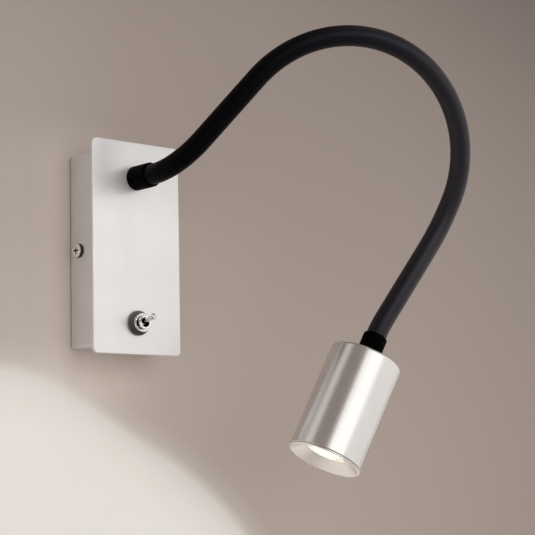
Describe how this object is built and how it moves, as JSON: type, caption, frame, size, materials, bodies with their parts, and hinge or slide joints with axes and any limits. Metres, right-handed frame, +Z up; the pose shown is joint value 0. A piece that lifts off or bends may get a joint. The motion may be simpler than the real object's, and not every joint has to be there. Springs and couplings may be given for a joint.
{
  "type": "wall reading lamp",
  "caption": "Wall reading lamp: shallow box with overhanging face plate, black gooseneck arm, cylindrical satin metal LED head and a bat-lever toggle switch.",
  "frame": {"origin": "wall face, midway between the two wall screws", "axes": "+X to the right along the wall, +Y into the wall, +Z up; the face plate looks along -Y"},
  "size_m": [0.1854, 0.1466, 0.2485],
  "materials": {
    "satin_nickel": "satin nickel plate",
    "zinc_steel": "bright zinc-plated steel",
    "satin_nickel_head": "satin nickel plate on turned aluminium",
    "chrome": "bright chrome plate",
    "dark_collar": "dark grey semi-gloss",
    "arm_black": "smooth black sleeve with a soft sheen",
    "black_ferrule": "black satin",
    "hose_steel": "plain steel gooseneck hose",
    "reflector_white": "glossy white reflector",
    "phosphor": "yellow phosphor",
    "board_white": "white solder mask",
    "heat_sink_aluminium": "plain aluminium",
    "driver_case": "white moulded plastic",
    "terminal_plastic": "natural moulded plastic",
    "switch_plastic": "blue moulded plastic",
    "brass": "plain brass",
    "grommet_rubber": "black rubber",
    "lead_insulation": "grey wire insulation",
    "bezel_nickel": "pale satin nickel plate"
  },
  "bodies": {
    "base": {"wall_bracket": "zinc_steel", "bracket_flanges": "zinc_steel", "housing": "satin_nickel", "front_plate": "satin_nickel", "side_screws": "chrome", "cable_grommet": "grommet_rubber", "earth_screw": "brass", "led_driver": "driver_case", "terminal_block": "terminal_plastic", "terminal_screws": "zinc_steel", "switch_body": "switch_plastic", "switch_terminals": "brass", "switch_bushing": "chrome", "switch_collar": "dark_collar", "switch_nut": "chrome", "arm_base_ferrule": "black_ferrule", "arm_lock_washer": "zinc_steel", "arm_lock_nut": "zinc_steel", "arm_sleeve_1": "arm_black", "arm_hose_1": "hose_steel", "live_lead": "lead_insulation", "switched_lead": "lead_insulation", "neutral_lead": "lead_insulation", "arm_lead_1": "lead_insulation"},
    "toggle": {"switch_lever": "chrome"},
    "arm_link_2": {"arm_sleeve_2": "arm_black", "arm_hose_2": "hose_steel", "arm_lead_2": "lead_insulation"},
    "arm_link_3": {"arm_sleeve_3": "arm_black", "arm_hose_3": "hose_steel", "arm_lead_3": "lead_insulation"},
    "arm_link_4": {"arm_sleeve_4": "arm_black", "arm_hose_4": "hose_steel", "arm_lead_4": "lead_insulation"},
    "arm_link_5": {"arm_sleeve_5": "arm_black", "arm_hose_5": "hose_steel", "arm_lead_5": "lead_insulation"},
    "arm_link_6": {"arm_sleeve_6": "arm_black", "arm_hose_6": "hose_steel", "arm_lead_6": "lead_insulation"},
    "arm_link_7": {"arm_sleeve_7": "arm_black", "arm_hose_7": "hose_steel", "arm_lead_7": "lead_insulation"},
    "arm_link_8": {"arm_sleeve_8": "arm_black", "arm_hose_8": "hose_steel", "arm_lead_8": "lead_insulation"},
    "head": {"arm_sleeve_9": "arm_black", "arm_hose_9": "hose_steel", "arm_head_ferrule": "black_ferrule", "head_lock_washer": "zinc_steel", "head_lock_nut": "zinc_steel", "head_shell": "satin_nickel_head", "heat_sink": "heat_sink_aluminium", "led_board": "board_white", "led_board_screws": "zinc_steel", "led_emitter": "phosphor", "reflector": "reflector_white", "mouth_gasket": "grommet_rubber", "bezel": "bezel_nickel", "arm_lead_9": "lead_insulation"}
  },
  "joints": [
    {"name": "toggle_rock", "type": "hinge", "parent": "base", "child": "toggle", "pos_m": [0, -0.0284, -0.04075], "axis": [1, 0, 0], "range_deg": [0, 26]},
    {"name": "arm_curl_1", "type": "hinge", "parent": "base", "child": "arm_link_2", "pos_m": [0.00337, -0.06146, 0.04665], "axis": [0.5789, 0.5528, 0.5994], "range_deg": [-20, 20]},
    {"name": "arm_swing_2", "type": "hinge", "parent": "arm_link_2", "child": "arm_link_3", "pos_m": [0.02372, -0.08755, 0.07865], "axis": [-0.794, 0.1303, 0.5938], "range_deg": [-20, 20]},
    {"name": "arm_curl_3", "type": "hinge", "parent": "arm_link_3", "child": "arm_link_4", "pos_m": [0.0503, -0.1111, 0.10781], "axis": [0.3915, 0.8569, 0.3354], "range_deg": [-20, 20]},
    {"name": "arm_swing_4", "type": "hinge", "parent": "arm_link_4", "child": "arm_link_5", "pos_m": [0.09078, -0.13152, 0.11273], "axis": [0.0576, -0.3866, 0.9204], "range_deg": [-20, 20]},
    {"name": "arm_curl_5", "type": "hinge", "parent": "arm_link_5", "child": "arm_link_6", "pos_m": [0.12939, -0.14066, 0.09028], "axis": [0.4029, 0.8563, 0.3232], "range_deg": [-20, 20]},
    {"name": "arm_swing_6", "type": "hinge", "parent": "arm_link_6", "child": "arm_link_7", "pos_m": [0.14894, -0.13513, 0.0495], "axis": [0.9085, -0.4179, 0.0071], "range_deg": [-20, 20]},
    {"name": "arm_curl_7", "type": "hinge", "parent": "arm_link_7", "child": "arm_link_8", "pos_m": [0.14077, -0.12028, 0.00708], "axis": [0.2726, 0.9566, 0.1029], "range_deg": [-20, 20]},
    {"name": "arm_swing_8", "type": "hinge", "parent": "arm_link_8", "child": "head", "pos_m": [0.1154, -0.11229, -0.03098], "axis": [0.8054, -0.1429, -0.5752], "range_deg": [-20, 20]}
  ]
}
